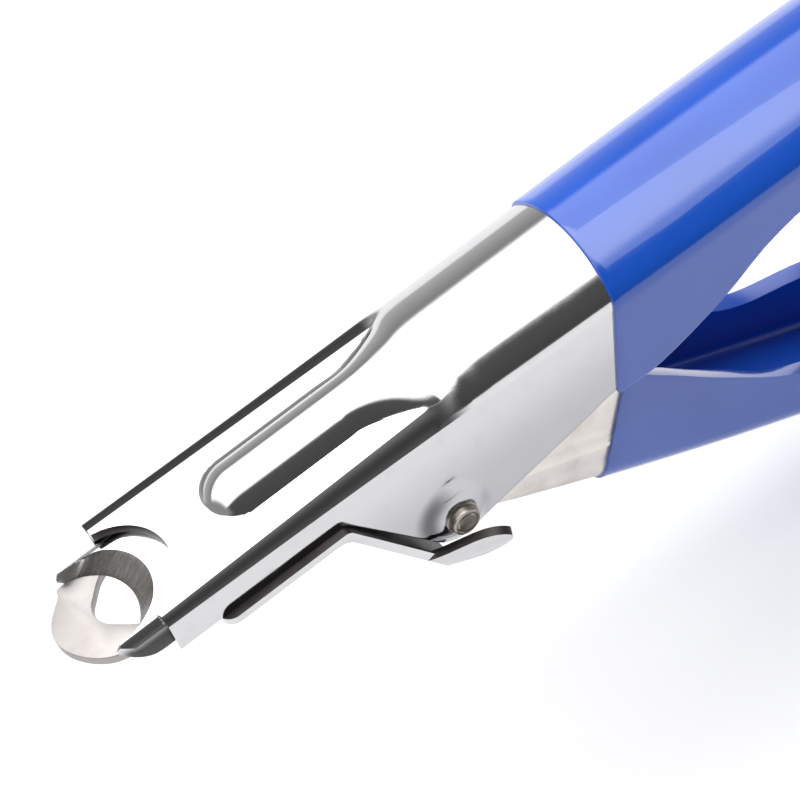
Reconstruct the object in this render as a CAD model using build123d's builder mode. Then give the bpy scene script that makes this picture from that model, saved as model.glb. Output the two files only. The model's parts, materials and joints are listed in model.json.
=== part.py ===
"""Guillotine nail clipper for pets: a pressed steel body, a sliding U blade, a fixed ring plate and two
dipped handles.

Millimetres.  +X points to the nose, +Y to the side of the thumb tab, +Z up.  The origin lies on the centre
plane, where the front edge of the body meets the level of its flat top.  The handles are drawn open.
"""
from math import acos, atan2, cos, degrees, hypot, radians, sin, sqrt
import os

from build123d import *

os.makedirs("parts", exist_ok=True)

# ---- driving dimensions ------------------------------------------------------------------------------
sheet = 1.2                 # wall of the two pressed channels
coat = 0.35                 # vinyl dip on the handles
tool_rear = -126.0          # rear end of the upper channel
tail_r = 9.0                # rounding of the handles' ends, seen from above
tail_ease = 0.4             # the rounding is this much wider than the lever
slide_gap = 0.05            # running clearance of the sliding pieces
turn_gap = 0.05             # radial clearance on the pivot

# body
nose_half = 8.35            # half width of the body at the nose
neck_flare = 0.2            # the body is this much wider where the dome starts
grip_flare = 0.75           # and this much wider along the upper handle
nose_bend = 1.25            # outer bend radius at the nose
neck_bend = 2.2             # outer bend radius where the dome starts
taper_x = -21.0             # the body widens behind this
dome_x = -36.0              # the dome starts here
dome_top = 2.05
crown_r = 12.7
shoulder_r = 2.6
back_arc = 900.0            # radius of the gentle fall of the upper handle's back
back_arc_x = -60.0
rail_lap = 0.55             # the side rails reach this far below the ring plate
notch_r = 6.06              # arc cut in the nose of the flat top
notch_x = 0.9
rib_front = -10.5
rib_half = 3.9
rib_top = 1.9
flare_x = -27.5             # the rib starts to widen here
flare_in = 0.9              # the flare meets the dome this far inside its edge
flare_base = -0.45
overlap = 0.5               # neighbouring forms run this far into each other
step = 0.06                 # and lie this far inside each other there

# pivot
pivot_x = -31.5
pivot_z = -14.5
rivet_r = 1.5
lobe_r = 3.9                # rounding of the wall under the pivot
boss_height = 0.65
boss_r = 3.9
head_lap = 0.35             # the rivet's head is this much larger than its shank
head_t = 1.15
washer_t = 0.35
washer_lap = 0.65
sleeve_t = 0.9
coil_gap = 0.25             # between the spring's coil and its sleeve

# lever, drawn in its closed position about the pivot and then opened
open_angle = 27.0
lever_play = 0.25           # between the lever and the body's walls, filled by the shims
lever_rear = -92.0
lever_bend = 2.4
hub_r = 3.7
arm = 11.6                  # pivot to finger tip
finger_r = 1.25
finger_neck = 0.85
lever_coat_start = -20.5
lever_nose = -5.0           # front end of the lever's floor
lever_floor = -3.9          # floor at the front end
lever_low = (-47, -5.9)     # lowest point of the floor
lever_end = -3.4            # floor at the rear end

# blade train
blade_play = 0.1            # between the blade and the flat top above it
blade_t = 2.1
skirt_t = 1.1
blade_bend = 2.7
blade_rear = -16.0
edge_r = 5.9                # cutting edge
edge_x = 0.1                # deepest point of the cutting edge
bevel_x = -2.35             # deepest point of the bevel on top of the blade
lap_end = -27.0
screw_x = -23.6
screw_r = 1.25

# ring and cover
ring_t = 1.2
ring_play = 0.1             # between the ring plate and the blade's skirts
ring_front = 9.25
hole_r = 4.6
hole_x = -0.78
hole_nose_r = 2.7
hole_front = 4.6
ring_rear = -20.4
ring_tail_x = -17.0         # the ring plate is full width behind this
cover_t = 1.0
cover_reach = 0.95          # the cover stands this far out of the body's walls
cover_front = -5.0
cover_bend_x = -20.4
cover_travel = 6.0
cover_apron = 16.7          # length of the sloping apron
apron_angle = 59.3          # slope of the apron below the flat
tab_start = 13.2            # the thumb tab starts this far down the apron
guide_xs = (-7.3, -11.5)    # shoulder screws that carry the cover
guide_r = 1.0
guide_head_r = 1.8
tab_out = 8.3               # reach of the thumb tab
tab_fold = 60.0             # it is folded back this far from the apron

# spring
wire = 1.0
coil_turns = 4.2
coil_pitch = 1.08

# ---- values worked out from them ---------------------------------------------------------------------
pivot = (pivot_x, pivot_z)
blade_top = -sheet - blade_play
blade_under = blade_top - blade_t
ring_top = blade_under - slide_gap
ring_under = ring_top - ring_t
rail_z = ring_under - rail_lap          # lower edge of the side rails
cover_top = rail_z - slide_gap
neck_half = nose_half + neck_flare
grip_half = nose_half + grip_flare
flare_half = neck_half - flare_in
inner_half = nose_half - sheet
blade_half = inner_half - slide_gap
ring_half = blade_half - skirt_t - ring_play
cover_half = nose_half + cover_reach
lever_half = inner_half - lever_play
head_r = rivet_r + head_lap
washer_r = rivet_r + washer_lap
sleeve_r = rivet_r + sleeve_t
coil_r = sleeve_r + coil_gap + wire / 2
swing = radians(open_angle)
half_swing = swing / 2
finger_x = arm * sin(half_swing)
finger_z = arm * cos(half_swing)
lever_inner = lever_half - sheet
lever_side = Plane(origin=(pivot_x, 0, pivot_z), x_dir=(cos(swing), 0, sin(swing)), z_dir=(0, -1, 0))
lever_top = Plane(origin=(pivot_x, 0, pivot_z), x_dir=(cos(swing), 0, sin(swing)),
                  z_dir=(-sin(swing), 0, cos(swing)))
pivot_half = nose_half + (neck_half - step - nose_half) * (taper_x - pivot_x) / (taper_x - dome_x + overlap)
boss_face = pivot_half + boss_height
coat_plane_x = -55.6
coat_plane_slope = 0.244
edge_start = (-52, -13.9)
handle_edge = [edge_start, (-57.3, -13.9), (-66.3, -11.4), (-73.6, -8.3), (-82, -7.2), (-104, -8),
               (tool_rear - 4, -11)]
lever_rim = [(lever_rear, 1.8), (-70, 2.9), (-56.5, 2.6), (-45.5, 1.3), (-35, 4.2), (-25.5, 7.8), (-20.5, 9.0),
             (-12, 6.6)]


def tangent_point(point, centre, radius, side):
    """Where a line from the point touches a circle, on the chosen side."""
    away = atan2(point[1] - centre[1], point[0] - centre[0])
    spread = acos(radius / hypot(point[0] - centre[0], point[1] - centre[1]))
    turn = away + side * spread
    return centre[0] + radius * cos(turn), centre[1] + radius * sin(turn)


def back_height(x):
    """Height of the upper handle's back at x."""
    behind = max(back_arc_x - x, 0)
    return dome_top - behind**2 / (2 * back_arc)


def flat_section(x, half, bend, inset):
    """Filled section of the straight channel, drawn in by the inset."""
    corner = max(bend - inset, 0.05)
    side = half - inset
    with BuildSketch(Plane.YZ.offset(x)) as section:
        with BuildLine():
            Polyline((side, -corner - inset), (side, -40), (-side, -40), (-side, -corner - inset))
            Line((corner - side, -inset), (side - corner, -inset))
            RadiusArc((side - corner, -inset), (side, -corner - inset), corner)
            RadiusArc((-side, -corner - inset), (corner - side, -inset), corner)
        make_face()
    return section.sketch


def dome_section(x, half, inset):
    """Filled section of the arched handle, drawn in by the inset."""
    side = half - inset
    top = back_height(x) - inset
    crown = crown_r - inset
    shoulder = shoulder_r - inset
    middle = top - crown
    shoulder_y = side - shoulder
    shoulder_z = middle + sqrt((crown - shoulder)**2 - shoulder_y**2)
    turn = atan2(shoulder_z - middle, shoulder_y)
    touch = (crown * cos(turn), middle + crown * sin(turn))
    mid = (shoulder_y + shoulder * cos(turn / 2), shoulder_z + shoulder * sin(turn / 2))
    with BuildSketch(Plane.YZ.offset(x)) as section:
        with BuildLine():
            Polyline((side, shoulder_z), (side, -40), (-side, -40), (-side, shoulder_z))
            ThreePointArc((side, shoulder_z), mid, touch)
            ThreePointArc(touch, (0, top), (-touch[0], touch[1]))
            ThreePointArc((-touch[0], touch[1]), (-mid[0], mid[1]), (-side, shoulder_z))
        make_face()
    return section.sketch


def arch_width(half, base, top, inset):
    """Half width of an arch drawn in by the inset, on its own base line."""
    radius = (half**2 + (top - base)**2) / (2 * (top - base))
    middle = top - radius
    return sqrt((radius - inset)**2 - (base - inset - middle)**2)


def arch_section(x, half, base, top, inset):
    """Filled arch of the rib and its flare, drawn in by the inset."""
    side = arch_width(half, base, top, inset)
    with BuildSketch(Plane.YZ.offset(x)) as section:
        with BuildLine():
            Polyline((side, base - inset), (side, -3), (-side, -3), (-side, base - inset))
            ThreePointArc((side, base - inset), (0, top - inset), (-side, base - inset))
        make_face()
    return section.sketch


def body_form(inset, front):
    """The upper pressing as a filled form, drawn in by the inset and starting at the front given."""
    bend_at_taper = nose_bend + (neck_bend - nose_bend) * taper_x / dome_x
    straight = [flat_section(front, nose_half, nose_bend, inset),
                flat_section(taper_x, nose_half, bend_at_taper, inset),
                flat_section(dome_x - overlap, neck_half - step, neck_bend, inset)]
    rib_run = [arch_section(rib_front + 1, rib_half, 0, rib_top, inset),
               arch_section(flare_x, rib_half, 0, rib_top, inset)]
    flare = [arch_section(flare_x + step, rib_half - step, 0, rib_top - step, inset),
             arch_section(dome_x - overlap, flare_half, flare_base, dome_top - 2 * step, inset)]
    stations = ((dome_x, neck_half), (-46, neck_half + 0.2), (-56, grip_half - 0.15), (-66, grip_half),
                (-86, grip_half), (-106, grip_half - 0.1), (tool_rear - 2, grip_half - 0.5))
    arched = [dome_section(x, half, inset) for x, half in stations]
    with BuildPart() as rib:
        loft(rib_run, ruled=True)
        with BuildSketch(Plane.XY.offset(-inset)):
            with Locations((rib_front - inset / 2 - 20, 0)):
                SlotOverall(40, 2 * rib_half, align=(Align.CENTER, Align.CENTER))
        extrude(amount=rib_top + 1, taper=45, mode=Mode.INTERSECT)
    with BuildPart() as form:
        loft(straight, ruled=True)
        add(rib.part)
        loft(flare, ruled=True)
        loft(arched)
    return form.part


def body_side(grow):
    """Side view of the upper pressing: all that lies above the lower edge of its walls."""
    front_touch = tangent_point((cover_bend_x - 0.3, rail_z), pivot, lobe_r, -1)
    rear_touch = tangent_point(edge_start, pivot, lobe_r, 1)
    with BuildPart() as keep:
        with BuildSketch(Plane.XZ):
            with BuildLine():
                Polyline((5, 30), (5, rail_z), (cover_bend_x - 0.3, rail_z), front_touch)
                ThreePointArc(front_touch, (pivot_x + 0.5 * lobe_r, pivot_z - 0.866 * lobe_r), rear_touch)
                Line(rear_touch, (edge_start[0], edge_start[1] - grow))
                edge = Spline([(x, z - grow) for x, z in handle_edge])
                Polyline(edge @ 1, (tool_rear - 4, 30), (5, 30))
            make_face()
        extrude(amount=15, both=True)
    return keep.part


def body_plan(grow):
    """Plan view of the upper pressing: its rear end is rounded."""
    with BuildPart() as keep:
        with BuildSketch(Plane.XY.offset(-40)):
            with Locations((tool_rear + tail_r, 0)):
                Ellipse(tail_r + grow, grip_half + grow)
                Rectangle(200, 40, align=(Align.MIN, Align.CENTER))
        extrude(amount=80)
    return keep.part


def body_shell(grow, front):
    """The upper pressing, with its walls grown on every side."""
    with BuildPart() as hollow:
        add(body_form(sheet + grow, 2))
        add(body_plan(-sheet - grow), mode=Mode.INTERSECT)
    with BuildPart() as shell:
        add(body_form(-grow, front))
        add(body_plan(grow), mode=Mode.INTERSECT)
        add(hollow.part, mode=Mode.SUBTRACT)
        add(body_side(grow), mode=Mode.INTERSECT)
    return shell.part


def behind_plane():
    """Everything behind the edge of the upper grip."""
    slope = degrees(atan2(coat_plane_slope, 1))
    with BuildPart() as keep:
        with Locations(Location((coat_plane_x, 0, 0), (0, slope, 0))):
            Box(120, 60, 120, align=(Align.MAX, Align.CENTER, Align.CENTER))
    return keep.part


def lever_plan(grow):
    """Plan view of the lever: its rear end is rounded."""
    with BuildPart() as keep:
        with BuildSketch(lever_top.offset(-30)):
            with Locations((lever_rear + tail_r, 0)):
                Ellipse(tail_r + grow, lever_half + grow + tail_ease)
                Rectangle(200, 40, align=(Align.MIN, Align.CENTER))
        extrude(amount=60)
    return keep.part


def lever_form(grow):
    """The lower pressing, with its walls grown on every side, as a block and the hollow to cut from it."""
    with BuildPart() as block:
        with BuildSketch(lever_side):
            with BuildLine():
                ThreePointArc((lever_nose, lever_floor - grow), (lever_low[0], lever_low[1] - grow),
                              (lever_rear - 1, lever_end - grow))
                Line((lever_rear - 1, lever_end - grow), (lever_rear - 1, lever_rim[0][1] + grow))
                Line((lever_rear - 1, lever_rim[0][1] + grow), (lever_rear, lever_rim[0][1] + grow))
                Spline([(u, v + grow) for u, v in lever_rim], tangents=((1, 0.1), (1, -0.5)))
                Polyline((-12, lever_rim[-1][1] + grow), (-2, hub_r), (lever_nose, lever_floor - grow))
            make_face()
        extrude(amount=lever_half + grow, both=True)
        floor_edges = block.edges().filter_by(GeomType.CIRCLE).sort_by(SortBy.LENGTH)[-2:]
        fillet(floor_edges, lever_bend + grow)
        add(lever_plan(grow), mode=Mode.INTERSECT)
    inset = sheet + grow
    with BuildPart() as hollow:
        with BuildSketch(lever_side):
            with BuildLine():
                ThreePointArc((lever_nose + 1, lever_floor + inset), (lever_low[0], lever_low[1] + inset),
                              (lever_rear - 1, lever_end + inset))
                Polyline((lever_rear - 1, lever_end + inset), (lever_rear - 1, 40),
                         (lever_nose + 1, 40), (lever_nose + 1, lever_floor + inset))
            make_face()
        extrude(amount=lever_half - inset, both=True)
        floor_edges = hollow.edges().filter_by(GeomType.CIRCLE).sort_by(SortBy.LENGTH)[-2:]
        fillet(floor_edges, lever_bend - inset)
        add(lever_plan(-inset), mode=Mode.INTERSECT)
        with BuildSketch(lever_side):
            with Locations((lever_nose, 0)):
                Rectangle(60, 60, align=(Align.MIN, Align.CENTER))
        extrude(amount=lever_half - inset, both=True)
    return block.part, hollow.part


# ---- body channel and its grip -----------------------------------------------------------------------
body_steel = body_shell(0, 0)

with BuildPart() as body_channel:
    add(body_steel)
    with Locations((notch_x, 0, -sheet - 0.6)):
        Cylinder(notch_r, 4, align=(Align.CENTER, Align.CENTER, Align.MIN), mode=Mode.SUBTRACT)
    for turn in (-90, 90):
        place = Location((pivot_x, 0, pivot_z), (turn, 0, 0))
        with Locations(place * Location((0, 0, pivot_half - 0.3))):
            Cone(boss_r, boss_r - 1.1, boss_height + 0.3, align=(Align.CENTER, Align.CENTER, Align.MIN))
    with Locations(Location((pivot_x, 0, pivot_z), (90, 0, 0))):
        Cylinder(rivet_r + 0.01, 40, mode=Mode.SUBTRACT)
body_channel.part.label = "body_channel"

with BuildPart() as upper_grip:
    add(body_shell(coat, -40))
    add(behind_plane(), mode=Mode.INTERSECT)
    add(body_steel, mode=Mode.SUBTRACT)
upper_grip.part.label = "upper_grip"

# ---- lever and its grip ------------------------------------------------------------------------------
lever_block, lever_hollow = lever_form(0)

with BuildPart() as lever_channel:
    add(lever_block)
    with BuildSketch(lever_side):
        Circle(hub_r)
        with Locations((finger_x, finger_z)):
            Circle(finger_r)
        with BuildLine(Plane.XY.rotated((0, 0, -degrees(half_swing)))):
            Polyline((-2.2, 2.4), (2.2, 2.4), (finger_neck, arm - 0.8), (-finger_neck, arm - 0.8), close=True)
        make_face()
    extrude(amount=lever_half, both=True)
    add(lever_hollow, mode=Mode.SUBTRACT)
    with Locations(Location((pivot_x, 0, pivot_z), (90, 0, 0))):
        Cylinder(rivet_r + turn_gap, 40, mode=Mode.SUBTRACT)
lever_channel.part.label = "lever_channel"

coat_block, coat_hollow = lever_form(coat)
with BuildPart() as lower_grip:
    add(coat_block)
    add(coat_hollow, mode=Mode.SUBTRACT)
    with BuildSketch(lever_side):
        with Locations((lever_coat_start, 0)):
            Rectangle(120, 80, align=(Align.MAX, Align.CENTER))
    extrude(amount=30, both=True, mode=Mode.INTERSECT)
    add(lever_channel.part, mode=Mode.SUBTRACT)
lower_grip.part.label = "lower_grip"

# ---- pivot -------------------------------------------------------------------------------------------
with BuildPart() as pivot_rivet:
    with Locations(Location((pivot_x, 0, pivot_z), (90, 0, 0))):
        Cylinder(rivet_r, 2 * (boss_face + washer_t + head_t - 0.1))
        for side in (-1, 1):
            with Locations((0, 0, side * (boss_face + washer_t + head_t / 2))):
                Cylinder(head_r, head_t)
    rims = pivot_rivet.edges().filter_by(GeomType.CIRCLE).sort_by(Axis.Y)
    fillet((rims[0], rims[-1]), 0.25)
pivot_rivet.part.label = "pivot_rivet"


def pivot_ring(name, centre_y, thickness, outer, inner):
    """A plain ring on the pivot axis."""
    with BuildPart() as ring:
        with Locations(Location((pivot_x, centre_y, pivot_z), (90, 0, 0))):
            Cylinder(outer, thickness)
            Cylinder(inner, thickness, mode=Mode.SUBTRACT)
    ring.part.label = name
    export_step(ring.part, f"parts/{name}.step")
    return ring.part


for name, side in (("left", 1), ("right", -1)):
    pivot_ring(f"rivet_washer_{name}", side * (boss_face + washer_t / 2), washer_t, washer_r, rivet_r + 0.01)
    shim_room = pivot_half - sheet - lever_half
    shim_t = shim_room - 2 * slide_gap
    pivot_ring(f"lever_shim_{name}", side * (lever_half + shim_room / 2), shim_t, hub_r - 0.3, rivet_r + 0.02)
pivot_ring("pivot_sleeve", 0, 2 * (lever_inner - slide_gap), sleeve_r, rivet_r + 0.02)

# ---- return spring -----------------------------------------------------------------------------------
coil_half = coil_turns * coil_pitch / 2
start_out = (-cos(swing), 0, -sin(swing))
coil_place = Plane(origin=(pivot_x, -coil_half, pivot_z), x_dir=start_out, z_dir=(0, 1, 0))
coil = coil_place.location * Helix(coil_pitch, 2 * coil_half, coil_r)
start = coil @ 0
end = coil @ 1
floor_end = lever_side.from_local_coords(Vector(-18, lever_floor + sheet + 0.35, coil_half))
roof_end = Vector(-50, coil_half, back_height(-50) - sheet - 0.85)
with BuildPart() as torsion_spring:
    with BuildSketch(Plane(origin=start, z_dir=coil % 0)):
        Circle(wire / 2)
    sweep(path=coil, is_frenet=True)
    for near, far in ((start, floor_end), (end, roof_end)):
        leg = far - near
        root = near + leg.normalized() * (wire / 2 + 0.02)
        with BuildSketch(Plane(origin=root, z_dir=leg)):
            Circle(wire / 2)
        extrude(amount=(far - root).length)
torsion_spring.part.label = "torsion_spring"

# ---- blade train -------------------------------------------------------------------------------------
with BuildPart() as cutting_blade:
    with BuildSketch(Plane.YZ.offset(blade_rear)):
        with BuildLine():
            foot = rail_z + 0.1
            Polyline((blade_half, blade_top - blade_bend), (blade_half, foot), (-blade_half, foot),
                     (-blade_half, blade_top - blade_bend))
            Line((blade_bend - blade_half, blade_top), (blade_half - blade_bend, blade_top))
            RadiusArc((blade_half - blade_bend, blade_top), (blade_half, blade_top - blade_bend), blade_bend)
            RadiusArc((-blade_half, blade_top - blade_bend), (blade_bend - blade_half, blade_top), blade_bend)
        make_face()
    extrude(amount=6 - blade_rear)
    with BuildSketch(Plane.YZ.offset(blade_rear - 1)):
        with Locations((0, blade_under)):
            Rectangle(2 * (blade_half - skirt_t), 20, align=(Align.CENTER, Align.MAX))
    extrude(amount=30, mode=Mode.SUBTRACT)
    # tongue that laps over the carriage
    with BuildSketch(Plane.XY.offset(blade_top)):
        with Locations((blade_rear + 1, 0)):
            Rectangle(blade_rear + 1 - lap_end, 8, align=(Align.MAX, Align.CENTER))
    extrude(amount=-blade_t / 2)
    with Locations((screw_x, 0, blade_top)):
        Cylinder(2.0, 0.7, align=(Align.CENTER, Align.CENTER, Align.MIN))
        Cylinder(screw_r, 10, mode=Mode.SUBTRACT)
    # rounded plan and side view of the two points
    with BuildSketch(Plane.XY.offset(-10)):
        with BuildLine():
            Polyline((0.5, blade_half), (blade_rear - 20, blade_half), (blade_rear - 20, -blade_half),
                     (0.5, -blade_half))
            ThreePointArc((0.5, -blade_half), (3.7, 0.35 - blade_half), (5.5, 1.3 - blade_half))
            Line((5.5, 1.3 - blade_half), (5.5, blade_half - 1.3))
            ThreePointArc((5.5, blade_half - 1.3), (3.7, blade_half - 0.35), (0.5, blade_half))
        make_face()
    extrude(amount=12, mode=Mode.INTERSECT)
    with BuildSketch(Plane.XZ):
        with BuildLine():
            Polyline((1, -8), (blade_rear - 20, -8), (blade_rear - 20, 3), (2.5, 3), (2.5, blade_top))
            ThreePointArc((2.5, blade_top), (4.6, -1.75), (5.5, -2.6))
            ThreePointArc((5.5, -2.6), (3.9, -4.2), (1, rail_z + 0.1))
            Line((1, rail_z + 0.1), (1, -8))
        make_face()
    extrude(amount=12, both=True, mode=Mode.INTERSECT)
    # hollow-ground edge: an oblique round cut through the nose
    lean = (bevel_x - edge_x) / blade_t
    cuts = []
    for z in (blade_top + 1, blade_under - 2):
        deep = edge_x + lean * (z - blade_under)
        with BuildSketch(Plane.XY.offset(z)) as bite:
            with Locations((deep + edge_r, 0)):
                Circle(edge_r)
            with Locations((deep + edge_r, 0)):
                Rectangle(20, 2 * edge_r, align=(Align.MIN, Align.CENTER))
        cuts.append(bite.sketch)
    loft(cuts, ruled=True, mode=Mode.SUBTRACT)
cutting_blade.part.label = "cutting_blade"

with BuildPart() as blade_carriage:
    rear = pivot_x - finger_x - finger_r - 2.6
    lap_top = blade_top - blade_t / 2 - 0.02
    with BuildSketch(Plane.XY.offset(blade_under)):
        with Locations((rear, 0)):
            Rectangle(blade_rear - slide_gap - rear, 2 * (blade_half - 0.1), align=(Align.MIN, Align.CENTER))
    extrude(amount=lap_top - blade_under)
    with BuildSketch(Plane.XY.offset(lap_top)):
        with Locations((rear, 0)):
            Rectangle(lap_end - slide_gap - rear, 2 * (blade_half - 0.9), align=(Align.MIN, Align.CENTER))
    extrude(amount=blade_top - 0.1 - lap_top)
    with BuildSketch(Plane.XY.offset(-10)):
        with Locations((pivot_x - finger_x, blade_half), (pivot_x - finger_x, -blade_half)):
            Rectangle(2 * (finger_r + slide_gap), 2 * (blade_half - lever_inner + 0.15))
    extrude(amount=20, mode=Mode.SUBTRACT)
    with Locations((screw_x, 0, blade_under)):
        Cylinder(screw_r + 0.1, 10, mode=Mode.SUBTRACT)
        Cone(2.2, screw_r + 0.1, 0.9, align=(Align.CENTER, Align.CENTER, Align.MIN), mode=Mode.SUBTRACT)
blade_carriage.part.label = "blade_carriage"

with BuildPart() as blade_screw:
    with Locations((screw_x, 0, blade_under + 0.02)):
        Cone(2.15, screw_r - 0.02, 0.9, align=(Align.CENTER, Align.CENTER, Align.MIN))
        Cylinder(screw_r - 0.02, blade_t + 0.5, align=(Align.CENTER, Align.CENTER, Align.MIN))
        Box(0.6, 3.4, 0.45, align=(Align.CENTER, Align.CENTER, Align.MIN), mode=Mode.SUBTRACT)
blade_screw.part.label = "blade_screw"

# ---- ring plate and cover ----------------------------------------------------------------------------
with BuildPart() as ring_plate:
    with BuildSketch(Plane.XY.offset(ring_under)):
        with BuildLine():
            Spline((3.0, ring_half), (6.1, ring_half - 0.8), (8.1, ring_half - 2.8), (ring_front, 0),
                   (8.1, 2.8 - ring_half), (6.1, 0.8 - ring_half),
                   (3.0, -ring_half), tangents=((1, 0), (-1, 0)))
            Polyline((3.0, -ring_half), (ring_tail_x, -ring_half), (ring_tail_x, -inner_half),
                     (ring_rear, -inner_half), (ring_rear, inner_half), (ring_tail_x, inner_half),
                     (ring_tail_x, ring_half), (3.0, ring_half))
        make_face()
        with BuildSketch(mode=Mode.PRIVATE) as hole:
            with Locations((hole_x, 0)):
                Circle(hole_r)
            with Locations((hole_front - hole_nose_r, 0)):
                Circle(hole_nose_r)
            make_hull()
        add(hole.sketch, mode=Mode.SUBTRACT)
        with Locations(*[(x, 0) for x in guide_xs]):
            Circle(guide_r + 0.01, mode=Mode.SUBTRACT)
    extrude(amount=ring_t)
ring_plate.part.label = "ring_plate"

down = Vector(-cos(radians(apron_angle)), 0, -sin(radians(apron_angle)))
back = Vector(down.Z, 0, -down.X)           # square to the apron, towards the pivot
bend_top = Vector(cover_bend_x, 0, cover_top)
mitre = (Vector(0, 0, 1) + back) * (-cover_t / (1 + back.Z))
end_top = bend_top + down * cover_apron
corners = [Vector(cover_front, 0, cover_top), bend_top, end_top, end_top - back * cover_t,
           bend_top + mitre, Vector(cover_front, 0, cover_top - cover_t)]
with BuildPart() as cover_plate:
    with BuildSketch(Plane.XZ):
        with BuildLine():
            Polyline([(corner.X, corner.Z) for corner in corners], close=True)
        make_face()
    extrude(amount=cover_half, both=True)
    bends = cover_plate.edges().filter_by(Axis.Y).sort_by(lambda edge: abs(edge.center().X - cover_bend_x))
    fillet(bends[0:1], 1.0)
    bends = cover_plate.edges().filter_by(Axis.Y).filter_by(
        lambda edge: (edge.center() - (bend_top + mitre)).length < 0.01)
    fillet(bends, 1.0 + cover_t)
    front_corners = cover_plate.edges().filter_by(Axis.Z)
    fillet(front_corners, 1.6)
    outward = Vector(0, cos(radians(tab_fold)), 0) + back * sin(radians(tab_fold))
    tab_root = bend_top + down * tab_start - back * cover_t + Vector(0, cover_half, 0)
    with BuildSketch(Plane(origin=tab_root, x_dir=down, z_dir=down.cross(outward))):
        with BuildLine():
            Polyline((0, 0), (3.3, 0))
            Spline((3.3, 0), (4.4, 2.4), (5.1, 5.4), (tab_out - 4.5, tab_out), (2.3, tab_out - 0.5),
                   (1.0, tab_out - 3.5), (0, 0))
        make_face()
    extrude(amount=-cover_t)
    with BuildSketch(Plane.XY.offset(cover_top - 3)):
        with Locations(((guide_xs[0] + guide_xs[1] - cover_travel) / 2, 0)):
            SlotCenterToCenter(guide_xs[0] - guide_xs[1] + cover_travel, 2 * (guide_r + slide_gap))
    extrude(amount=6, mode=Mode.SUBTRACT)
cover_plate.part.label = "cover_plate"

head_z = cover_top - cover_t - 0.35
for name, x in zip(("front", "rear"), guide_xs):
    with BuildPart() as cover_screw:
        with Locations((x, 0, head_z)):
            Cylinder(guide_r, ring_top - head_z, align=(Align.CENTER, Align.CENTER, Align.MIN))
            Cylinder(guide_head_r, 1.0, align=(Align.CENTER, Align.CENTER, Align.MAX))
        fillet(cover_screw.edges().filter_by(GeomType.CIRCLE).sort_by(Axis.Z)[0], 0.3)
        with Locations((x, 0, head_z - 1.0)):
            Box(0.6, 3.0, 0.45, align=(Align.CENTER, Align.CENTER, Align.MIN), mode=Mode.SUBTRACT)
    cover_screw.part.label = f"cover_screw_{name}"
    export_step(cover_screw.part, f"parts/cover_screw_{name}.step")
    with BuildPart() as cover_washer:
        with Locations((x, 0, head_z)):
            Cylinder(guide_head_r - 0.25, 0.3, align=(Align.CENTER, Align.CENTER, Align.MIN))
            Cylinder(guide_r + 0.02, 1, mode=Mode.SUBTRACT)
    cover_washer.part.label = f"cover_washer_{name}"
    export_step(cover_washer.part, f"parts/cover_washer_{name}.step")

for piece in (body_channel, upper_grip, lever_channel, lower_grip, pivot_rivet, torsion_spring, cutting_blade,
              blade_carriage, blade_screw, ring_plate, cover_plate):
    export_step(piece.part, f"parts/{piece.part.label}.step")
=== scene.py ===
"""Guillotine nail clipper for pets: visible surfaces, finishes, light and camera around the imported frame.

Shapes are worked out in millimetres, in the frame's axes, and scaled to metres when a piece is made.
"""
import json
from math import acos, atan2, cos, degrees, hypot, pi, radians, sin, sqrt

import bmesh
import bpy
import numpy as np
from mathutils import Matrix, Vector

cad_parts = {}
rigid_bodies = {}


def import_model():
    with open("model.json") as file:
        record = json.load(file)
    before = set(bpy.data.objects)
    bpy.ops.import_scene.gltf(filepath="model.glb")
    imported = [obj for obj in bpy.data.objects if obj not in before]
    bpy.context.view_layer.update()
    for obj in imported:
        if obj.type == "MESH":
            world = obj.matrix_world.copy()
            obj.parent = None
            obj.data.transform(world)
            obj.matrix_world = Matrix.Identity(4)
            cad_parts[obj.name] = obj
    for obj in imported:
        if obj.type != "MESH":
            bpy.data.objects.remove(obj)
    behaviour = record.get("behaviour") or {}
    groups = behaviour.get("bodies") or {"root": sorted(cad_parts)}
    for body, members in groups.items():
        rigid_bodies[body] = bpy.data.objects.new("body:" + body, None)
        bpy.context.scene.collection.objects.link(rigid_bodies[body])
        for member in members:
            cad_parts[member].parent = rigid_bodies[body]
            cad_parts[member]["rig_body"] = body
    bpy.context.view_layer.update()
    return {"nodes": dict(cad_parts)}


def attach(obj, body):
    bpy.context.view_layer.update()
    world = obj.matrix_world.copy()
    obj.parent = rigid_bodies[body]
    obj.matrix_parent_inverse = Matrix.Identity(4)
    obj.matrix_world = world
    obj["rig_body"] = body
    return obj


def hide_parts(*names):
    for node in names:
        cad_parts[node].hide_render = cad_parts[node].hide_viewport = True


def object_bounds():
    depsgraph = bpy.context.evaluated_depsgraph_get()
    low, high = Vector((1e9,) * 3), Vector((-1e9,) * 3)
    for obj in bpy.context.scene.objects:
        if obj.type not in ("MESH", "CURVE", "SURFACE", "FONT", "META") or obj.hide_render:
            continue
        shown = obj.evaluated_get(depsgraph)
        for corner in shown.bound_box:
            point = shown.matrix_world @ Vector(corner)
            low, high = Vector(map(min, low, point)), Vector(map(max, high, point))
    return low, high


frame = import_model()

MM = 0.001

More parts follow.
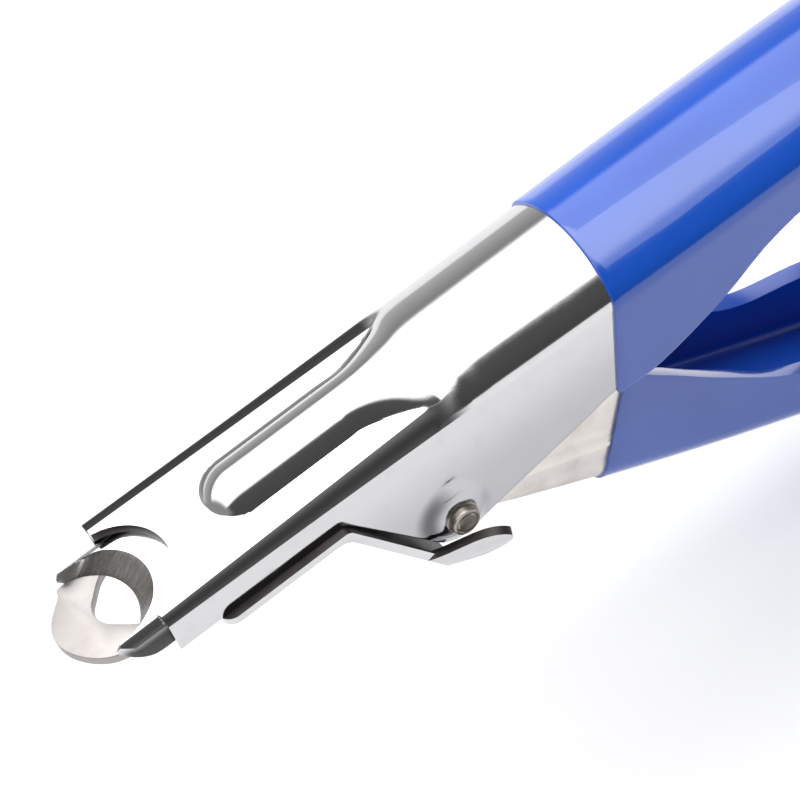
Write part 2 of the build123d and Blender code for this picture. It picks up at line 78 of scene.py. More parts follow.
# ---- sizes shared with the frame, in millimetres -----------------------------------------------------
SHEET = 1.2
COAT = 0.35
PIVOT = (-31.5, -14.5)
SWING = radians(27.0)
LOBE = 3.9
TAIL_X, TAIL_R = -117.0, 9.0
LEVER_TAIL, LEVER_TAIL_HALF = -83.0, 7.3
RIB_NOSE, RIB_HALF, RIB_TOP = -14.4, 3.9, 1.9
FLARE_START, FLARE_END = -27.5, -36.0
NOTCH_R, NOTCH_X = 6.06, 0.9
CROWN, SHOULDER, DOME_TOP = 12.7, 2.6, 2.05
NOSE_BEND, BEND_GROWTH = 1.25, 0.95     # outer bend of the top at the nose, and what the dome's adds to it
FLARE_BASE = -0.45                      # foot of the flare's arch where it meets the dome
FOOT_BLEND = 0.15                       # softness of the rib's foot
BACK_ARC_X, BACK_ARC = -60, 900         # the handle's back falls in this arc behind this place
BOSS_LIFT, BOSS_FLAT, BOSS_SLOPE = 0.85, 2.1, 2.2
LEVER_HALF, LEVER_BEND = 6.9, 2.4
GRIP_EDGE, GRIP_SLOPE = -55.6, 0.244    # the upper grip's front edge leans
TAIL_STEPS = 20


# ---- finishes ----------------------------------------------------------------------------------------
class Field:
    """A value that varies over a surface. Arithmetic on it adds Math nodes."""

    def __init__(self, nodes, socket):
        self.nodes, self.socket = nodes, socket

    def math(self, operation, *others):
        values = {i: v for i, v in enumerate((self, *others))}
        return self.nodes.node("ShaderNodeMath", {"operation": operation}, values)

    def __add__(self, other):
        return self.math("ADD", other)

    def __sub__(self, other):
        return self.math("SUBTRACT", other)

    def __rsub__(self, other):
        return self.nodes.node("ShaderNodeMath", {"operation": "SUBTRACT"}, {0: other, 1: self})

    def __mul__(self, other):
        return self.math("MULTIPLY", other)

    def __truediv__(self, other):
        return self.math("DIVIDE", other)

    __radd__ = __add__
    __rmul__ = __mul__

    def __abs__(self):
        return self.math("ABSOLUTE")

    def between(self, low, high):
        """0 below low, 1 above high and smooth between them."""
        return self.nodes.node("ShaderNodeMapRange", {"interpolation_type": "SMOOTHSTEP"},
                               {"Value": self, "From Min": low, "From Max": high})


class Nodes:
    """A node tree in the making."""

    def __init__(self, tree):
        self.tree = tree
        tree.nodes.clear()

    def node(self, kind, settings=None, values=None, output=0):
        """Adds one node and returns one of its outputs, if it has any."""
        made = self.tree.nodes.new(kind)
        for key, value in (settings or {}).items():
            if key == "stops":
                while len(made.color_ramp.elements) < len(value):
                    made.color_ramp.elements.new(0.5)
                for element, (place, light) in zip(made.color_ramp.elements, value):
                    element.position = place
                    element.color = (light, light, light, 1)
            else:
                setattr(made, key, value)
        for key, value in (values or {}).items():
            if isinstance(value, Field):
                self.tree.links.new(value.socket, made.inputs[key])
            elif isinstance(value, tuple) and made.inputs[key].type == "RGBA":
                made.inputs[key].default_value = (*value, 1)
            else:
                made.inputs[key].default_value = value
        return Field(self, made.outputs[output]) if made.outputs else None

    def mix(self, amount, first, second):
        return self.node("ShaderNodeMix", {"data_type": "RGBA"}, {0: amount, 6: first, 7: second}, output=2)

    def axes(self, names, vector):
        """The named axes of a vector, each as its own value."""
        return [self.node("ShaderNodeSeparateXYZ", {}, {"Vector": vector}, axis) for axis in names]


class Finish(Nodes):
    """A procedural material in the making."""

    def __init__(self, name):
        self.material = bpy.data.materials.new(name)
        self.material.use_nodes = True
        super().__init__(self.material.node_tree)

    def place(self, stretch=(1, 1, 1)):
        """Object coordinates in millimetres, stretched."""
        where = self.node("ShaderNodeTexCoord", output="Object")
        return self.node("ShaderNodeMapping", {}, {"Vector": where, "Scale": tuple(s / MM for s in stretch)})

    def noise(self, where, scale, detail=3.0, roughness=0.55):
        return self.node("ShaderNodeTexNoise", {}, {"Vector": where, "Scale": scale, "Detail": detail,
                                                    "Roughness": roughness})

    def bump(self, height, depth):
        return self.node("ShaderNodeBump", {}, {"Height": height, "Distance": depth * MM, "Strength": 1.0})

    def done(self, **values):
        """Ends the material in one shader with these sockets."""
        surface = self.node("ShaderNodeBsdfPrincipled", {},
                            {key.replace("_", " "): value for key, value in values.items()})
        self.node("ShaderNodeOutputMaterial", {}, {"Surface": surface})
        return self.material


def plated_steel(bends=False):
    """Polished plated sheet: near mirror, with faint rolling waves, hairlines and a few smudges. With bends
    on,
    it also carries painted shade: a dark satin band painted along the sharp bends of the flat top, a painted
    shadow on a slope of the boss round the pivot, and walls painted darker towards their foot."""
    f = Finish("polished_plate_painted_shade" if bends else "polished_plate")
    waves = f.noise(f.place((0.3, 1, 1)), 0.12, 1.0)
    hairs = f.noise(f.place((0.05, 1, 1)), 9.0, 2.0, 0.6)
    smudge = f.noise(f.place(), 0.35, 4.0).between(0.5, 0.72)
    fine = f.noise(f.place(), 3.2, 2.0)
    colour = f.mix(smudge * 0.5 + fine * 0.2, (0.62, 0.62, 0.632), (0.56, 0.563, 0.575))
    roughness = 0.07 + smudge * 0.04 + hairs * 0.04
    if bends:
        widening, deepening = 0.0217, 0.0238    # of the bend, for each millimetre towards the dome
        x, y, z = f.axes("XYZ", f.place())
        right = y.between(-0.1, 0.1)
        # painted shade: a dark satin band is painted along the sharp bends of the flat top in place of their
        # dark reflection, near-black on the left bend and dark grey on the right
        start = abs(y) - x * widening - right * 0.85
        painted_bend_shade = start.between(6.64, 6.76) * (z - x * deepening + 1.125).between(-0.05, 0.05)
        painted_bend_shade = painted_bend_shade * x.between(-38.0, -34.5) * (1 - z.between(0.02, 0.12))
        # painted shade: the walls are painted darker towards their foot
        wall = 1 - z.between(-13.0, -3.0)
        # painted shade: a dark patch is painted on the forward, upper slope of the boss round the pivot
        out_x, out_z = x - PIVOT[0], z - PIVOT[1]
        reach = (out_x * out_x + out_z * out_z).math("SQRT")
        forward_up = ((out_x * 0.9 + out_z * 0.42) / (reach + 0.01)).between(0.2, 0.95)
        painted_boss_shadow = reach.between(2.0, 3.4) * (1 - reach.between(3.6, 5.4)) * forward_up
        colour = f.mix(wall * 0.8, colour, (0.43, 0.425, 0.45))
        colour = f.mix(painted_boss_shadow * 0.85, colour, (0.08, 0.08, 0.085))
        colour = f.mix(painted_bend_shade, colour, f.mix(right, (0.035, 0.035, 0.035), (0.09, 0.09, 0.092)))
        roughness = roughness + painted_bend_shade * 0.5
    return f.done(Base_Color=colour, Metallic=1.0, Roughness=roughness,
                  Normal=f.bump(waves * 0.7 + hairs * 0.012 + fine * 0.006, 0.08))


def dipped_vinyl():
    """Glossy dipped vinyl: deep blue, faint orange peel, slow colour drift and small specks."""
    f = Finish("dipped_blue_vinyl")
    drift = f.noise(f.place(), 0.06, 2.0)
    peel = f.noise(f.place(), 0.9, 2.0)
    sag = f.noise(f.place((0.25, 1, 1)), 0.16, 1.0)
    speck = f.noise(f.place(), 4.5, 2.0).between(0.7, 0.8)
    colour = f.mix(drift.between(0.3, 0.7), (0.004, 0.07, 0.45), (0.006, 0.08, 0.50))
    colour = f.mix(speck * 0.3, colour, (0.012, 0.12, 0.62))
    return f.done(Base_Color=colour, Roughness=0.14 + drift * 0.1, IOR=1.4, Coat_Roughness=0.05,
                  Coat_IOR=1.5, Coat_Weight=1.0, Normal=f.bump(sag * 0.7 + peel * 0.05, 0.12))


def ground_blade():
    """Hardened blade: ground bevel with fine streaks down its slope, polished flats."""
    f = Finish("ground_blade_steel")
    streaks = f.noise(f.place((0.12, 1, 0.12)), 7.0, 3.0, 0.7)
    coarse = f.noise(f.place((0.05, 1, 0.05)), 2.0, 2.0)
    normal = f.node("ShaderNodeNewGeometry", output="True Normal")
    lean, rise = f.axes("XZ", normal)
    bevel = lean.between(0.3, 0.45) * (1 - rise.between(0.9, 0.98)) * rise.between(0.1, 0.3)
    tone = f.mix((streaks * 0.7 + coarse * 0.3).between(0.3, 0.7), (0.17, 0.16, 0.155), (0.32, 0.305, 0.29))
    # painted shade: the outer bends and skirts are painted dark, in place of the dark reflection there
    y, z = f.axes("YZ", f.place())
    painted_skirt_shade = (1 - z.between(-3.4, -1.75)) * abs(y).between(5.6, 6.6)
    colour = f.mix(painted_skirt_shade, f.mix(bevel, (0.70, 0.70, 0.71), tone), (0.075, 0.075, 0.074))
    return f.done(Base_Color=colour, Metallic=1.0,
                  Roughness=0.1 + bevel * 0.3 + streaks * 0.06 + painted_skirt_shade * 0.35,
                  Normal=f.bump(streaks * bevel + streaks * 0.05, 0.03))


def satin_plate(name, light, dark, roughness, along=(0.08, 1, 1)):
    """Satin steel with fine grain along one direction and a slow tarnish."""
    f = Finish(name)
    grain = f.noise(f.place(along), 8.0, 3.0, 0.65)
    tarnish = f.noise(f.place(), 0.3, 3.0).between(0.4, 0.75)
    pits = f.noise(f.place(), 6.0, 2.0).between(0.68, 0.78)
    colour = f.mix((tarnish * 0.6 + grain * 0.3), light, dark)
    return f.done(Base_Color=colour, Metallic=1.0, Roughness=roughness + grain * 0.1 + tarnish * 0.05,
                  Normal=f.bump(grain * 0.2 - pits * 0.3, 0.02))


CHROME = plated_steel()
PLATE_PAINTED_SHADE = plated_steel(bends=True)
VINYL = dipped_vinyl()
BLADE = ground_blade()
RING = satin_plate("satin_ring_steel", (0.41, 0.385, 0.377), (0.375, 0.35, 0.342), 0.45)
# near-black steel: painted shade for the notch's cut wall and the cover plate's upward faces
DARK_PAINTED_SHADE = satin_plate("near_black_painted_shade", (0.07, 0.062, 0.06), (0.04, 0.036, 0.036), 0.4, (1, 1, 0.1))
LEVER = satin_plate("warm_lever_steel", (0.72, 0.68, 0.65), (0.55, 0.51, 0.48), 0.27)
RIVET = satin_plate("nickel_rivet", (0.42, 0.38, 0.34), (0.28, 0.25, 0.22), 0.3, (1, 1, 1))
PLAIN = satin_plate("turned_steel", (0.62, 0.62, 0.63), (0.45, 0.45, 0.46), 0.25, (1, 1, 0.08))
SPRING = satin_plate("spring_wire", (0.33, 0.34, 0.37), (0.2, 0.2, 0.23), 0.3, (1, 1, 1))


# ---- mesh helpers ------------------------------------------------------------------------------------
def make_piece(name, mesh, material, body, node, sharp=35.0):
    """Turns a mesh in millimetres into a finished piece that stands for a CAD node."""
    mesh.transform(Matrix.Scale(MM, 4))
    mesh.materials.clear()
    mesh.materials.append(material)
    mesh.polygons.foreach_set("material_index", [0] * len(mesh.polygons))
    mesh.shade_smooth()
    mesh.set_sharp_from_angle(angle=radians(sharp))
    piece = bpy.data.objects.new(name, mesh)
    bpy.context.scene.collection.objects.link(piece)
    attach(piece, body)
    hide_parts(*([node] if isinstance(node, str) else node))
    return piece


def applied(mesh, *modifiers):
    """The mesh with these modifiers applied: each is a type and its settings."""
    holder = bpy.data.objects.new("holder", mesh)
    bpy.context.scene.collection.objects.link(holder)
    for kind, settings in modifiers:
        modifier = holder.modifiers.new(kind, kind)
        for key, value in settings.items():
            setattr(modifier, key, value)
    view = bpy.context.evaluated_depsgraph_get()
    result = bpy.data.meshes.new_from_object(holder.evaluated_get(view))
    bpy.data.objects.remove(holder)
    return result


def mesh_from(name, build):
    """A mesh filled by a function that works on a bmesh, with its doubles merged."""
    mesh = bpy.data.meshes.new(name)
    bm = bmesh.new()
    build(bm)
    bmesh.ops.remove_doubles(bm, verts=bm.verts, dist=0.002)
    loose = [v for v in bm.verts if not v.link_faces]
    bmesh.ops.delete(bm, geom=loose, context="VERTS")
    bm.to_mesh(mesh)
    bm.free()
    return mesh


def edge_break(width, segments=2, angle=32.0):
    return ("BEVEL", {"width": width, "segments": segments, "limit_method": "ANGLE",
                      "angle_limit": radians(angle), "use_clamp_overlap": True})


def shell_mesh(name, outer, inner):
    """A closed wall between two grids of points that have the same rows and columns."""
    rows, columns = outer.shape[:2]

    def build(bm):
        sides = [[[bm.verts.new(point) for point in row] for row in grid] for grid in (outer, inner)]
        out, inn = sides

        def face(*corners):
            if len(set(corners)) == len(corners):
                bm.faces.new(corners)
        for i in range(rows - 1):
            for j in range(columns - 1):
                face(out[i][j], out[i][j + 1], out[i + 1][j + 1], out[i + 1][j])
                face(inn[i][j], inn[i + 1][j], inn[i + 1][j + 1], inn[i][j + 1])
            for j, flip in ((0, False), (columns - 1, True)):
                ring = (out[i][j], out[i + 1][j], inn[i + 1][j], inn[i][j])
                face(*(reversed(ring) if flip else ring))
        for j in range(columns - 1):
            face(out[0][j], inn[0][j], inn[0][j + 1], out[0][j + 1])
    mesh = mesh_from(name, build)
    outward(mesh)
    return mesh


def outward(mesh):
    """Turns all faces of a closed mesh outwards."""
    bm = bmesh.new()
    bm.from_mesh(mesh)
    bmesh.ops.recalc_face_normals(bm, faces=bm.faces)
    if bm.calc_volume(signed=True) < 0:
        bmesh.ops.reverse_faces(bm, faces=bm.faces)
    bm.to_mesh(mesh)
    bm.free()


def lathe_mesh(name, profile, centre, steps=64):
    """A turned piece about an axis along Y: the profile gives (y, radius) from end to end."""
    def build(bm):
        turns = [2 * pi * k / steps for k in range(steps)]
        rings = [[bm.verts.new((centre[0] + r * cos(a), y, centre[1] + r * sin(a))) for a in turns]
                 for y, r in profile]
        for ring, following in zip(rings, rings[1:]):
            for k in range(steps):
                bm.faces.new((ring[k], ring[(k + 1) % steps], following[(k + 1) % steps], following[k]))
        bm.faces.new(rings[0])
        bm.faces.new(rings[-1])
    mesh = mesh_from(name, build)
    outward(mesh)
    return mesh


def finished_node(node, material, edge=0.08, segments=2, angle=32.0):
    """A copy of a CAD node with its doubles merged and its edges broken."""
    source = frame["nodes"][node]

    def build(bm):
        bm.from_mesh(source.data)
        bmesh.ops.scale(bm, vec=(1 / MM,) * 3, verts=bm.verts)
        bmesh.ops.remove_doubles(bm, verts=bm.verts, dist=0.003)
        bmesh.ops.dissolve_limit(bm, angle_limit=radians(0.4), verts=bm.verts, edges=bm.edges)
    mesh = applied(mesh_from(node, build), edge_break(edge, segments, angle))
    return make_piece(node + "_finish", mesh, material, source["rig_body"], node)


def flowing(points, per_span=24):
    """A smooth curve through the points, as a function of their first coordinate."""
    p = np.array(points, float)
    p = np.vstack([2 * p[0] - p[1], p, 2 * p[-1] - p[-2]])
    t = np.linspace(0, 1, per_span, endpoint=False)[:, None]
    spans = [0.5 * (2 * b + (c - a) * t + (2 * a - 5 * b + 4 * c - d) * t**2 + (3 * b - a - 3 * c + d) * t**3)
             for a, b, c, d in zip(p, p[1:], p[2:], p[3:])]
    line = np.vstack([*spans, p[-2:-1]])
    line = line[np.argsort(line[:, 0])]
    return lambda where: float(np.interp(where, line[:, 0], line[:, 1]))


def ease(t):
    t = min(max(t, 0.0), 1.0)
    return t * t * (3 - 2 * t)


def soft_max(a, b, width):
    h = max(width - abs(a - b), 0) / width
    return max(a, b) + h * h * width / 4


# ---- upper pressing ----------------------------------------------------------------------------------
body_half = flowing([(0, 8.35), (-10, 8.35), (-21, 8.37), (-36, 8.52), (-46, 8.75), (-56, 8.95), (-66, 9.1),
                     (-86, 9.1), (-106, 9.0), (-128, 8.6)])
handle_edge = flowing([(-46, -15.0), (-52, -13.9), (-57.3, -13.9), (-66.3, -11.4), (-73.6, -8.3), (-82, -7.2),
                       (-104, -8), (-130, -11)])


def touch_angle(point, side):
    """Where a line from the point touches the lobe round the pivot, as a point."""
    dx, dz = point[0] - PIVOT[0], point[1] - PIVOT[1]
    turn = atan2(dz, dx) + side * acos(LOBE / hypot(dx, dz))
    return PIVOT[0] + LOBE * cos(turn), PIVOT[1] + LOBE * sin(turn)


RAIL_END = (-20.7, -5.2)
LOBE_FRONT = touch_angle(RAIL_END, -1)
LOBE_REAR = touch_angle((-52, -13.9), 1)


def foot_height(x):
    """Lower edge of the upper pressing's walls."""
    if x > RAIL_END[0]:
        return RAIL_END[1]
    if x > LOBE_FRONT[0]:
        return RAIL_END[1] + (x - RAIL_END[0]) * (LOBE_FRONT[1] - RAIL_END[1]) / (LOBE_FRONT[0] - RAIL_END[0])
    if x > LOBE_REAR[0]:
        return PIVOT[1] - sqrt(max(LOBE**2 - (x - PIVOT[0])**2, 0))
    if x > -50:
        return LOBE_REAR[1] + (x - LOBE_REAR[0]) * (-13.9 - LOBE_REAR[1]) / (-52 - LOBE_REAR[0])
    return handle_edge(x)


def back_height(x):
    return DOME_TOP - max(BACK_ARC_X - x, 0)**2 / (2 * BACK_ARC)


flare_right = flowing([(-24, 3.9), (-27.5, 3.9), (-30.9, 5.2), (-34.1, 7.5), (-36, 7.9), (-40, 8.0)])
flare_left = flowing([(-24, 3.9), (-29.0, 3.95), (-31.5, 4.5), (-34.8, 5.95), (-37, 7.0), (-40, 7.6)])


def body_section(x, grow, side):
    """One half of the section at x, from the middle of the top to the foot of the wall."""
    bend_steps, wall_steps = 10, 26
    fine_share = 0.6540625          # of the flat beside the rib, where the points lie closer together
    whole = body_half(x) + grow
    bend = max(NOSE_BEND + BEND_GROWTH * min(x / FLARE_END, 1) + grow, 0.05)
    flare = min(max((FLARE_START - x) / (FLARE_START - FLARE_END), 0), 1)
    rib = RIB_HALF if x > FLARE_START + 1 else (flare_right if side > 0 else flare_left)(x)
    base, top = FLARE_BASE * flare, RIB_TOP + (DOME_TOP - RIB_TOP) * flare
    arch = (rib**2 + (top - base)**2) / (2 * (top - base))
    flat = whole - bend
    column = min(rib, flat - 1.0)
    foot = foot_height(x) - (grow if grow > 0 else 0)

    def rib_height(y):
        r = hypot(max(x - RIB_NOSE, 0), y)
        inside = (arch + grow)**2 - r**2
        return top - arch + sqrt(inside) if inside > 0 else -99.0
    split = column + fine_share * (flat - column)
    ys = [*np.linspace(0, column, 20, endpoint=False), *np.linspace(column, split, 8, endpoint=False),
          *np.linspace(split, flat, 4, endpoint=False)]
    pressed = [(y, grow) for y in ys]
    pressed += [(flat + bend * sin(a), grow - bend + bend * cos(a))
                for a in np.linspace(0, pi / 2, bend_steps + 1)]
    pressed = [(y, soft_max(z, rib_height(y), FOOT_BLEND)) for y, z in pressed]
    # arched handle: a wide crown arc with tighter shoulders, narrowed and dropped round its tail
    half = whole * tail_share(x, TAIL_X, TAIL_R + grow)
    near_tip = min(max((TAIL_X - x - TAIL_R - grow + SHOULDER) / SHOULDER, 0), 1)
    crown, shoulder = CROWN + grow, min(SHOULDER + grow, 0.98 * half)
    middle = back_height(x) + grow - crown - 0.9 * SHOULDER * (1 - sqrt(1 - near_tip**2))
    shoulder_y = half - shoulder
    shoulder_z = middle + sqrt((crown - shoulder)**2 - shoulder_y**2)
    turn = atan2(shoulder_z - middle, shoulder_y)
    touch = crown * cos(turn)
    arched = [(touch * y / flat, middle + sqrt(crown**2 - (touch * y / flat)**2)) for y in ys]
    arched += [(shoulder_y + shoulder * cos(turn * (1 - k / bend_steps)),
                shoulder_z + shoulder * sin(turn * (1 - k / bend_steps))) for k in range(bend_steps + 1)]
    share = ease((-34.5 - x) / 5)
    section = [(y0 + (y1 - y0) * share, z0 + (z1 - z0) * share)
               for (y0, z0), (y1, z1) in zip(pressed, arched)]
    y_wall, z_wall = section[-1]
    return section + [(y_wall, z_wall + (foot - z_wall) * k / wall_steps) for k in range(1, wall_steps + 1)]


def boss_lift(x, z):
    """How far the wall is pressed out round the pivot."""
    return BOSS_LIFT * (1 - ease((hypot(x - PIVOT[0], z - PIVOT[1]) - BOSS_FLAT) / BOSS_SLOPE))


def tail_share(x, centre, radius):
    over = min(max(centre - x, 0) / radius, 1)
    return sqrt(max(1 - over * over, 0))


def body_grid(xs, grow, front, outside):
    """Points of the upper pressing on sections at xs. The first ones follow the front function."""
    rows = []
    for i, x in enumerate(xs):
        halves = []
        for side in (-1, 1):
            half_row = []
            for j, (y, z) in enumerate(body_section(x, grow, side)):
                moved = front(i, x, y, z)
                if moved != x:
                    y, z = body_section(moved, grow, side)[j]
                if outside and z < -4:
                    y += boss_lift(moved, z)
                half_row.append((moved, side * y, z))
            halves.append(half_row)
        rows.append(halves[0][::-1] + halves[1][1:])
    return np.array(rows)


def spread(start, end, count):
    return list(np.linspace(start, end, count, endpoint=False))


FRONT_ZONE = [0, -0.4, -1, -2, -3, -4, -4.7, -5, -6, -7, -8, -9]
NOTCH_ZONE = FRONT_ZONE[-1]     # the sections in front of this place bend round the notch
steel_xs = (FRONT_ZONE + spread(-9.6, -15, 36) + spread(-15, RAIL_END[0], 8)
            + spread(RAIL_END[0], LOBE_FRONT[0], 12)
            + spread(LOBE_FRONT[0], -38, 26) + spread(-38, -60, 16) + spread(-60, TAIL_X, 14))


def nose_front(i, x, y, z):
    """Sections near the nose bend round the notch in the flat top."""
    if x <= NOTCH_ZONE or abs(y) >= NOTCH_R:
        return x
    start = min(NOTCH_X - sqrt(NOTCH_R**2 - y * y), 0)
    return start + (x / NOTCH_ZONE) * (NOTCH_ZONE - start) if start < 0 else x


def tailed(xs, grow):
    return xs + [TAIL_X - (TAIL_R + grow) * sin(a) for a in np.linspace(0, pi / 2, TAIL_STEPS)]


outer = body_grid(tailed(steel_xs, 0), 0, nose_front, outside=True)
inner = body_grid(tailed(steel_xs, -SHEET), -SHEET, nose_front, outside=False)
body_mesh = applied(shell_mesh("body", outer, inner), edge_break(0.1))
pressing = make_piece("body_pressing", body_mesh, PLATE_PAINTED_SHADE, "body", "body_channel")
pressing.data.materials.append(DARK_PAINTED_SHADE)
# painted shade: the cut wall of the notch is painted near-black
for face in pressing.data.polygons:
    x, y, z = face.center / MM
    if abs(hypot(x - NOTCH_X, y) - NOTCH_R) < 0.25 and abs(face.normal.z) < 0.97 and x < -0.02:
        face.material_index = 1

LEANING, UPRIGHT_X = 7, -62     # this many sections lean, and the grip's sections stand upright from here


def coat_front(i, x, y, z):
    """The first sections of the grip lean with its edge."""
    if i >= LEANING:
        return x
    start = GRIP_EDGE - GRIP_SLOPE * z
    return start + (UPRIGHT_X - start) * i / LEANING


grip_xs = [-56.0] * LEANING + spread(UPRIGHT_X, TAIL_X, 26)
outer = body_grid(tailed(grip_xs, COAT), COAT, coat_front, outside=False)
inner = body_grid(tailed(grip_xs, -SHEET - COAT), -SHEET - COAT, coat_front, outside=False)
grip_mesh = applied(shell_mesh("upper_grip", outer, inner), edge_break(0.3, 3))
make_piece("upper_handle_dip", grip_mesh, VINYL, "body", "upper_grip")

# ---- lower handle ------------------------------------------------------------------------------------
lever_rim = flowing([(-101, 0.7), (-92, 1.8), (-70, 2.9), (-56.5, 2.6), (-45.5, 1.3), (-35, 4.2),
                     (-25.5, 7.8), (-20.5, 9.0), (-12, 6.6)])
lever_floor = flowing([(-5, -3.9), (-26, -5.35), (-47, -5.9), (-70, -5.3), (-93, -3.4), (-100, -2.7)])


def lever_section(u, grow):
    """One half of the lower handle's section at u, from the middle of the floor to the rim."""
    half, bend = LEVER_HALF + grow, LEVER_BEND + grow
    floor, rim = lever_floor(u) - grow, lever_rim(u) + max(grow, 0)
    section = [((half - bend) * k / 8, floor) for k in range(8)]
    section += [(half - bend + bend * sin(a), floor + bend - bend * cos(a))
                for a in np.linspace(0, pi / 2, 11)]
    return section + [(half, floor + bend + (rim - floor - bend) * k / 12) for k in range(1, 13)]


def lever_grid(us, grow):
    rows = []
    for u in us:
        ellipse = tail_share(u, LEVER_TAIL, TAIL_R + grow) * (LEVER_TAIL_HALF + grow)
        half_row = []
        for y, v in lever_section(u, grow):
            y *= min(ellipse / (LEVER_HALF + grow), 1)
            half_row.append((PIVOT[0] + u * cos(SWING) - v * sin(SWING), y,
                             PIVOT[1] + u * sin(SWING) + v * cos(SWING)))
        rows.append([(x, -y, z) for x, y, z in reversed(half_row)] + half_row[1:])
    return np.array(rows)


def lever_us(grow):
    return spread(-20.5, LEVER_TAIL, 40) + [LEVER_TAIL - (TAIL_R + grow) * sin(a)
                                            for a in np.linspace(0, pi / 2, 16)]


lower_mesh = shell_mesh("lower_grip", lever_grid(lever_us(COAT), COAT),
                        lever_grid(lever_us(-SHEET - COAT), -SHEET - COAT))
make_piece("lower_handle_dip", applied(lower_mesh, edge_break(0.3, 3)), VINYL, "lever", "lower_grip")

# ---- rivet -------------------------------------------------------------------------------------------
WALL, WASHER, HEAD, HEAD_R = 9.3, 0.3, 0.85, 1.66     # the boss's face, and what lies on it
seat = WALL + WASHER
top = seat + HEAD
half_profile = [(seat, 1.4), (seat, HEAD_R), (top - 0.3, HEAD_R), (top - 0.1, 1.58), (top - 0.03, 1.44),
                (top - 0.03, 1.3), (top - 0.12, 1.22), (top - 0.12, 1.12), (top - 0.02, 1.02), (top, 0.5),
                (top, 0.02)]
profile = [(-y, r) for y, r in reversed(half_profile)] + half_profile
make_piece("pivot_rivet_turned", lathe_mesh("rivet", profile, PIVOT), RIVET, "body", "pivot_rivet")
for node, side in (("rivet_washer_left", 1), ("rivet_washer_right", -1)):
    rim = [(side * (WALL - 0.3), 1.45), (side * (WALL - 0.3), 1.8), (side * (seat - 0.1), 1.88),
           (side * (seat - 0.02), 1.8), (side * (seat - 0.02), 1.45)]
    make_piece(node + "_turned", lathe_mesh(node, rim, PIVOT), RIVET, "body", node)

# ---- the other nodes keep their CAD shape, with broken edges -----------------------------------------
for node, material, slot, edge in (
        ("lever_channel", LEVER, "lever_steel", 0.1), ("cutting_blade", BLADE, "blade_steel", 0.05),
        ("blade_carriage", PLAIN, "plain_steel", 0.1), ("blade_screw", PLAIN, "plain_steel", 0.05),
        ("ring_plate", RING, "ring_steel", 0.07), ("cover_plate", CHROME, "chrome_steel", 0.1),
        ("cover_screw_front", PLAIN, "plain_steel", 0.05),
        ("cover_screw_rear", PLAIN, "plain_steel", 0.05),
        ("cover_washer_front", PLAIN, "plain_steel", 0.04),
        ("cover_washer_rear", PLAIN, "plain_steel", 0.04)):
    piece = finished_node(node, material, edge)
    if node == "cover_plate":
        piece.data.materials.append(DARK_PAINTED_SHADE)
        # painted shade: the cover plate's upward faces are painted near-black
        for face in piece.data.polygons:
            face.material_index = int(face.normal.z > 0.3)
for node in ("lever_shim_left", "lever_shim_right", "pivot_sleeve", "torsion_spring"):
    inside = frame["nodes"][node]
    inside.data.materials.clear()
    inside.data.materials.append(SPRING if node == "torsion_spring" else PLAIN)

# ---- camera ------------------------------------------------------------------------------------------
camera = bpy.data.objects.new("camera", bpy.data.cameras.new("camera"))
stand = Vector((39.78, 278.07, 353.57))
right, up, back = (Vector((-0.7896, 0.5523, -0.2674)), Vector((-0.5926, -0.5735, 0.5656)),
                   Vector((0.1591, 0.6051, 0.7801)))
turned = Matrix((right, up, back)).transposed().to_4x4()
camera.matrix_world = Matrix.Translation(stand * MM) @ turned
camera.data.lens = 204.3
camera.data.sensor_width = 36.0
camera.data.clip_start, camera.data.clip_end = 0.01, 20.0
bpy.context.scene.collection.objects.link(camera)
bpy.context.scene.camera = camera

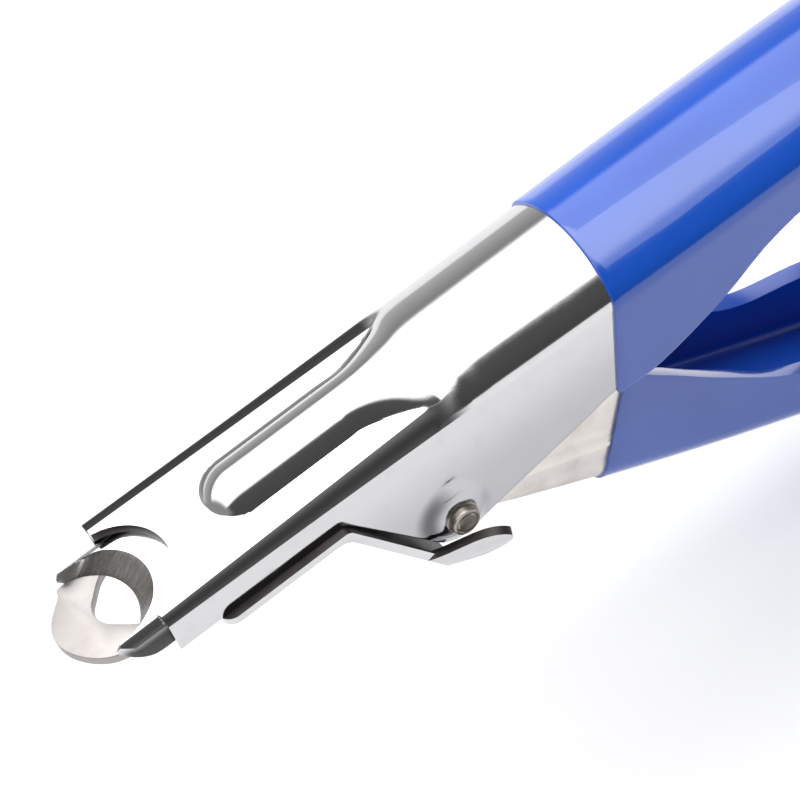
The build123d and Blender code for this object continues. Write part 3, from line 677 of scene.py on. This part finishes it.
# ---- floor and studio --------------------------------------------------------------------------------
FLOOR_REACH, FLOOR_GAP = 3, 0.0005      # metres
low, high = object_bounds()
floor_mesh = bpy.data.meshes.new("floor")
floor_mesh.from_pydata([(x * FLOOR_REACH, y * FLOOR_REACH, low.z - FLOOR_GAP)
                        for x, y in ((-1, -1), (1, -1), (1, 1), (-1, 1))], [], [(0, 1, 2, 3)])
paper = Finish("pale_paper")
grain = paper.noise(paper.place(), 0.5, 3.0)
floor_mesh.materials.append(paper.done(Base_Color=paper.mix(grain, (0.63, 0.63, 0.63), (0.65, 0.65, 0.65)),
                                       Roughness=0.8, Emission_Color=(1.0, 1.0, 1.0), Emission_Strength=0.3))
floor = bpy.data.objects.new("floor", floor_mesh)
bpy.context.scene.collection.objects.link(floor)

# light round the X axis: degrees from the zenith towards +Y, and the brightness there
STUDIO = ((-180, 0.25), (-90, 0.27), (-75, 0.2), (-63, 0.14), (-60, 0.16), (-55, 0.98), (12, 1.0),
          (19, 0.045), (84, 0.035), (98, 0.2), (180, 0.25))
STUDIO_STRENGTH, STUDIO_ENDS, PAPER = 2.4, 0.16, 0.93

world = bpy.data.worlds.new("studio")
bpy.context.scene.world = world
world.use_nodes = True
sky = Nodes(world.node_tree)
x, y, z = sky.axes("XYZ", sky.node("ShaderNodeTexCoord", output="Generated"))
turn = sky.node("ShaderNodeMath", {"operation": "ARCTAN2"}, {0: y, 1: z})
share = sky.node("ShaderNodeMapRange", {}, {"Value": turn, "From Min": -pi, "From Max": pi})
stops = [((angle + 180) / 360, light) for angle, light in STUDIO]
light_round = sky.node("ShaderNodeValToRGB", {"stops": stops}, {"Fac": share})
light = sky.mix(abs(x).between(0.68, 0.85), light_round, (STUDIO_ENDS,) * 3)
studio = sky.node("ShaderNodeBackground", {}, {"Color": light, "Strength": STUDIO_STRENGTH})
backdrop = sky.node("ShaderNodeBackground", {}, {"Color": (PAPER,) * 3})
seen = sky.node("ShaderNodeLightPath", output="Is Camera Ray")
shown = sky.node("ShaderNodeMixShader", {}, {0: seen, 1: studio, 2: backdrop})
sky.node("ShaderNodeOutputWorld", {}, {"Surface": shown})


def soft_box(name, place, aim, size, power):
    """A rectangular studio light at a place in metres, aimed at a point."""
    light = bpy.data.lights.new(name, "AREA")
    light.shape, light.size, light.size_y = "RECTANGLE", *size
    light.energy = power
    box = bpy.data.objects.new(name, light)
    box.location = place
    box.rotation_mode = "QUATERNION"
    box.rotation_quaternion = (Vector(aim) - Vector(place)).to_track_quat("-Z", "Y")
    bpy.context.scene.collection.objects.link(box)


soft_box("soft_box_overhead", (-0.2, -0.1, 1.0), (-0.05, 0, 0), (1.2, 0.45), 3.6)
bpy.context.scene.view_settings.view_transform = "Standard"
